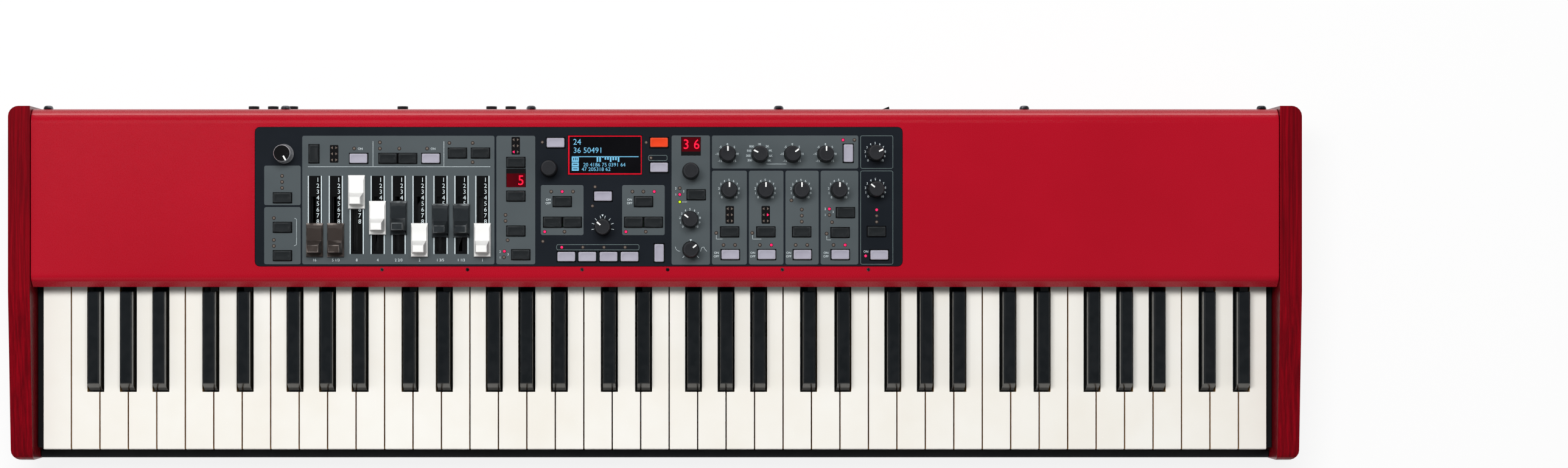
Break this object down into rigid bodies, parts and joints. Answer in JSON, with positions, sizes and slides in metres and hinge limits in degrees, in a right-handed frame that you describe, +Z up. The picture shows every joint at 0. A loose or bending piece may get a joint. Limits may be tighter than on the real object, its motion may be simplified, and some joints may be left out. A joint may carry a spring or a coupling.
{
  "type": "stage keyboard",
  "caption": "Compact stage keyboard with drawbars, knobs, backed buttons and a display over a full-size keybed between wooden cheeks",
  "frame": {"origin": "middle of the footprint, on the table the feet stand on", "axes": "+X to the player's right, +Y to the rear, +Z up"},
  "size_m": [1.06, 0.294, 0.0972],
  "materials": {
    "red_paint": "smooth semi-gloss red paint",
    "lacquered_wood": "dark red lacquer over wood, grain just showing",
    "charcoal_print": "matt charcoal with printed grey fields",
    "display_window": "clear window over a dark display",
    "white_key": "satin warm white",
    "black_key": "fine matt black",
    "zinc_steel": "zinc-plated sheet",
    "black_plastic": "moulded black",
    "grey_button": "light grey moulding",
    "circuit_board": "green circuit board",
    "rubber": "matt rubber",
    "brown_drawbar": "satin brown",
    "white_drawbar": "satin white",
    "dark_drawbar": "satin black"
  },
  "bodies": {
    "case": {"top_cover": "red_paint", "base_pan": "zinc_steel", "left_cheek": "lacquered_wood", "right_cheek": "lacquered_wood", "control_fascia": "charcoal_print", "display_window": "display_window", "key_frame": "white_key", "key_slip": "black_plastic", "panel_board": "black_plastic", "connector_board": "black_plastic", "power_supply": "circuit_board", "mains_inlet": "black_plastic", "drawbar_carrier": "zinc_steel", "front_left_foot": "rubber", "front_right_foot": "rubber", "rear_left_foot": "rubber", "rear_right_foot": "rubber"},
    "key_a4": {"key_a4": "white_key"},
    "key_a_sharp_4": {"key_a_sharp_4": "black_key"},
    "key_b4": {"key_b4": "white_key"},
    "key_c4": {"key_c4": "white_key"},
    "key_c_sharp_4": {"key_c_sharp_4": "black_key"},
    "key_d4": {"key_d4": "white_key"},
    "key_d_sharp_4": {"key_d_sharp_4": "black_key"},
    "key_e4": {"key_e4": "white_key"},
    "key_f4": {"key_f4": "white_key"},
    "key_f_sharp_4": {"key_f_sharp_4": "black_key"},
    "key_g4": {"key_g4": "white_key"},
    "key_g_sharp_4": {"key_g_sharp_4": "black_key"},
    "master_volume_knob": {"master_volume_knob": "black_plastic"},
    "program_encoder_knob": {"program_encoder_knob": "black_plastic"},
    "part_mix_knob": {"part_mix_knob": "black_plastic"},
    "sample_encoder_knob": {"sample_encoder_knob": "black_plastic"},
    "attack_knob": {"attack_knob": "black_plastic"},
    "release_knob": {"release_knob": "black_plastic"},
    "eq_bass_knob": {"eq_bass_knob": "black_plastic"},
    "eq_frequency_knob": {"eq_frequency_knob": "black_plastic"},
    "eq_mid_gain_knob": {"eq_mid_gain_knob": "black_plastic"},
    "eq_treble_knob": {"eq_treble_knob": "black_plastic"},
    "gain_level_knob": {"gain_level_knob": "black_plastic"},
    "effect_1_knob": {"effect_1_knob": "black_plastic"},
    "effect_2_knob": {"effect_2_knob": "black_plastic"},
    "drive_knob": {"drive_knob": "black_plastic"},
    "delay_knob": {"delay_knob": "black_plastic"},
    "reverb_knob": {"reverb_knob": "black_plastic"},
    "drawbar_1": {"drawbar_1": "brown_drawbar"},
    "drawbar_2": {"drawbar_2": "brown_drawbar"},
    "drawbar_3": {"drawbar_3": "white_drawbar"},
    "drawbar_4": {"drawbar_4": "white_drawbar"},
    "drawbar_5": {"drawbar_5": "dark_drawbar"},
    "drawbar_6": {"drawbar_6": "white_drawbar"},
    "drawbar_7": {"drawbar_7": "dark_drawbar"},
    "drawbar_8": {"drawbar_8": "dark_drawbar"},
    "drawbar_9": {"drawbar_9": "white_drawbar"},
    "button_program_a": {"button_program_a": "grey_button"},
    "button_program_b": {"button_program_b": "grey_button"},
    "button_program_c": {"button_program_c": "grey_button"},
    "button_program_d": {"button_program_d": "grey_button"},
    "button_shift": {"button_shift": "grey_button"},
    "power_rocker": {"power_rocker": "grey_button"}
  },
  "joints": [
    {"name": "key_a4_hinge", "type": "hinge", "parent": "case", "child": "key_a4", "pos_m": [0, 0.059, 0.045], "axis": [1, 0, 0], "range_deg": [0, 2.9], "stiffness_Nm_per_rad": 0.35, "springref_deg": -20.05},
    {"name": "key_a_sharp_4_hinge", "type": "hinge", "parent": "case", "child": "key_a_sharp_4", "pos_m": [0, 0.059, 0.045], "axis": [1, 0, 0], "range_deg": [0, 2.9], "stiffness_Nm_per_rad": 0.35, "springref_deg": -20.05},
    {"name": "key_b4_hinge", "type": "hinge", "parent": "case", "child": "key_b4", "pos_m": [0, 0.059, 0.045], "axis": [1, 0, 0], "range_deg": [0, 2.9], "stiffness_Nm_per_rad": 0.35, "springref_deg": -20.05},
    {"name": "key_c4_hinge", "type": "hinge", "parent": "case", "child": "key_c4", "pos_m": [0, 0.059, 0.045], "axis": [1, 0, 0], "range_deg": [0, 2.9], "stiffness_Nm_per_rad": 0.35, "springref_deg": -20.05},
    {"name": "key_c_sharp_4_hinge", "type": "hinge", "parent": "case", "child": "key_c_sharp_4", "pos_m": [0, 0.059, 0.045], "axis": [1, 0, 0], "range_deg": [0, 2.9], "stiffness_Nm_per_rad": 0.35, "springref_deg": -20.05},
    {"name": "key_d4_hinge", "type": "hinge", "parent": "case", "child": "key_d4", "pos_m": [0, 0.059, 0.045], "axis": [1, 0, 0], "range_deg": [0, 2.9], "stiffness_Nm_per_rad": 0.35, "springref_deg": -20.05},
    {"name": "key_d_sharp_4_hinge", "type": "hinge", "parent": "case", "child": "key_d_sharp_4", "pos_m": [0, 0.059, 0.045], "axis": [1, 0, 0], "range_deg": [0, 2.9], "stiffness_Nm_per_rad": 0.35, "springref_deg": -20.05},
    {"name": "key_e4_hinge", "type": "hinge", "parent": "case", "child": "key_e4", "pos_m": [0, 0.059, 0.045], "axis": [1, 0, 0], "range_deg": [0, 2.9], "stiffness_Nm_per_rad": 0.35, "springref_deg": -20.05},
    {"name": "key_f4_hinge", "type": "hinge", "parent": "case", "child": "key_f4", "pos_m": [0, 0.059, 0.045], "axis": [1, 0, 0], "range_deg": [0, 2.9], "stiffness_Nm_per_rad": 0.35, "springref_deg": -20.05},
    {"name": "key_f_sharp_4_hinge", "type": "hinge", "parent": "case", "child": "key_f_sharp_4", "pos_m": [0, 0.059, 0.045], "axis": [1, 0, 0], "range_deg": [0, 2.9], "stiffness_Nm_per_rad": 0.35, "springref_deg": -20.05},
    {"name": "key_g4_hinge", "type": "hinge", "parent": "case", "child": "key_g4", "pos_m": [0, 0.059, 0.045], "axis": [1, 0, 0], "range_deg": [0, 2.9], "stiffness_Nm_per_rad": 0.35, "springref_deg": -20.05},
    {"name": "key_g_sharp_4_hinge", "type": "hinge", "parent": "case", "child": "key_g_sharp_4", "pos_m": [0, 0.059, 0.045], "axis": [1, 0, 0], "range_deg": [0, 2.9], "stiffness_Nm_per_rad": 0.35, "springref_deg": -20.05},
    {"name": "master_volume_knob_turn", "type": "hinge", "parent": "case", "child": "master_volume_knob", "pos_m": [-0.3039, 0.1048, 0.08], "axis": [0, 0, -1], "range_deg": [-301, 0]},
    {"name": "program_encoder_knob_turn", "type": "hinge", "parent": "case", "child": "program_encoder_knob", "pos_m": [-0.0867, 0.0928, 0.08], "axis": [0, 0, -1], "continuous": true},
    {"name": "part_mix_knob_turn", "type": "hinge", "parent": "case", "child": "part_mix_knob", "pos_m": [-0.0428, 0.0449, 0.08], "axis": [0, 0, -1], "range_deg": [-100, 200]},
    {"name": "sample_encoder_knob_turn", "type": "hinge", "parent": "case", "child": "sample_encoder_knob", "pos_m": [0.0293, 0.0907, 0.08], "axis": [0, 0, -1], "continuous": true},
    {"name": "attack_knob_turn", "type": "hinge", "parent": "case", "child": "attack_knob", "pos_m": [0.0287, 0.0511, 0.08], "axis": [0, 0, -1], "range_deg": [-98, 202]},
    {"name": "release_knob_turn", "type": "hinge", "parent": "case", "child": "release_knob", "pos_m": [0.0293, 0.0264, 0.08], "axis": [0, 0, -1], "range_deg": [-200, 100]},
    {"name": "eq_bass_knob_turn", "type": "hinge", "parent": "case", "child": "eq_bass_knob", "pos_m": [0.0594, 0.1046, 0.08], "axis": [0, 0, -1], "range_deg": [-150, 150]},
    {"name": "eq_frequency_knob_turn", "type": "hinge", "parent": "case", "child": "eq_frequency_knob", "pos_m": [0.0859, 0.1046, 0.08], "axis": [0, 0, -1], "range_deg": [-87, 213]},
    {"name": "eq_mid_gain_knob_turn", "type": "hinge", "parent": "case", "child": "eq_mid_gain_knob", "pos_m": [0.1126, 0.1046, 0.08], "axis": [0, 0, -1], "range_deg": [-202, 98]},
    {"name": "eq_treble_knob_turn", "type": "hinge", "parent": "case", "child": "eq_treble_knob", "pos_m": [0.1397, 0.1046, 0.08], "axis": [0, 0, -1], "range_deg": [-150, 150]},
    {"name": "gain_level_knob_turn", "type": "hinge", "parent": "case", "child": "gain_level_knob", "pos_m": [0.1805, 0.1054, 0.08], "axis": [0, 0, -1], "range_deg": [-215, 85]},
    {"name": "effect_1_knob_turn", "type": "hinge", "parent": "case", "child": "effect_1_knob", "pos_m": [0.0607, 0.0752, 0.08], "axis": [0, 0, -1], "range_deg": [-150, 150]},
    {"name": "effect_2_knob_turn", "type": "hinge", "parent": "case", "child": "effect_2_knob", "pos_m": [0.0904, 0.0752, 0.08], "axis": [0, 0, -1], "range_deg": [-150, 150]},
    {"name": "drive_knob_turn", "type": "hinge", "parent": "case", "child": "drive_knob", "pos_m": [0.1197, 0.0752, 0.08], "axis": [0, 0, -1], "range_deg": [-150, 150]},
    {"name": "delay_knob_turn", "type": "hinge", "parent": "case", "child": "delay_knob", "pos_m": [0.1506, 0.0752, 0.08], "axis": [0, 0, -1], "range_deg": [-150, 150]},
    {"name": "reverb_knob_turn", "type": "hinge", "parent": "case", "child": "reverb_knob", "pos_m": [0.1807, 0.0758, 0.08], "axis": [0, 0, -1], "range_deg": [-99, 201]},
    {"name": "drawbar_1_slide", "type": "slide", "parent": "case", "child": "drawbar_1", "axis": [0, 1, 0], "range_m": [0, 0.0393]},
    {"name": "drawbar_2_slide", "type": "slide", "parent": "case", "child": "drawbar_2", "axis": [0, 1, 0], "range_m": [0, 0.0393]},
    {"name": "drawbar_3_slide", "type": "slide", "parent": "case", "child": "drawbar_3", "axis": [0, 1, 0], "range_m": [-0.0393, 0]},
    {"name": "drawbar_4_slide", "type": "slide", "parent": "case", "child": "drawbar_4", "axis": [0, 1, 0], "range_m": [-0.0182, 0.0211]},
    {"name": "drawbar_5_slide", "type": "slide", "parent": "case", "child": "drawbar_5", "axis": [0, 1, 0], "range_m": [-0.0182, 0.0211]},
    {"name": "drawbar_6_slide", "type": "slide", "parent": "case", "child": "drawbar_6", "axis": [0, 1, 0], "range_m": [0, 0.0393]},
    {"name": "drawbar_7_slide", "type": "slide", "parent": "case", "child": "drawbar_7", "axis": [0, 1, 0], "range_m": [-0.016, 0.0233]},
    {"name": "drawbar_8_slide", "type": "slide", "parent": "case", "child": "drawbar_8", "axis": [0, 1, 0], "range_m": [-0.016, 0.0233]},
    {"name": "drawbar_9_slide", "type": "slide", "parent": "case", "child": "drawbar_9", "axis": [0, 1, 0], "range_m": [0, 0.0393]},
    {"name": "button_program_a_press", "type": "slide", "parent": "case", "child": "button_program_a", "axis": [0, 0, -1], "range_m": [0, 0.0008], "stiffness_N_per_m": 300, "springref_m": -0.002},
    {"name": "button_program_b_press", "type": "slide", "parent": "case", "child": "button_program_b", "axis": [0, 0, -1], "range_m": [0, 0.0008], "stiffness_N_per_m": 300, "springref_m": -0.002},
    {"name": "button_program_c_press", "type": "slide", "parent": "case", "child": "button_program_c", "axis": [0, 0, -1], "range_m": [0, 0.0008], "stiffness_N_per_m": 300, "springref_m": -0.002},
    {"name": "button_program_d_press", "type": "slide", "parent": "case", "child": "button_program_d", "axis": [0, 0, -1], "range_m": [0, 0.0008], "stiffness_N_per_m": 300, "springref_m": -0.002},
    {"name": "button_shift_press", "type": "slide", "parent": "case", "child": "button_shift", "axis": [0, 0, -1], "range_m": [0, 0.0008], "stiffness_N_per_m": 300, "springref_m": -0.002},
    {"name": "power_rocker_tilt", "type": "hinge", "parent": "case", "child": "power_rocker", "pos_m": [0.1852, 0.1402, 0.026], "axis": [0, 0, -1], "range_deg": [0, 22]}
  ]
}
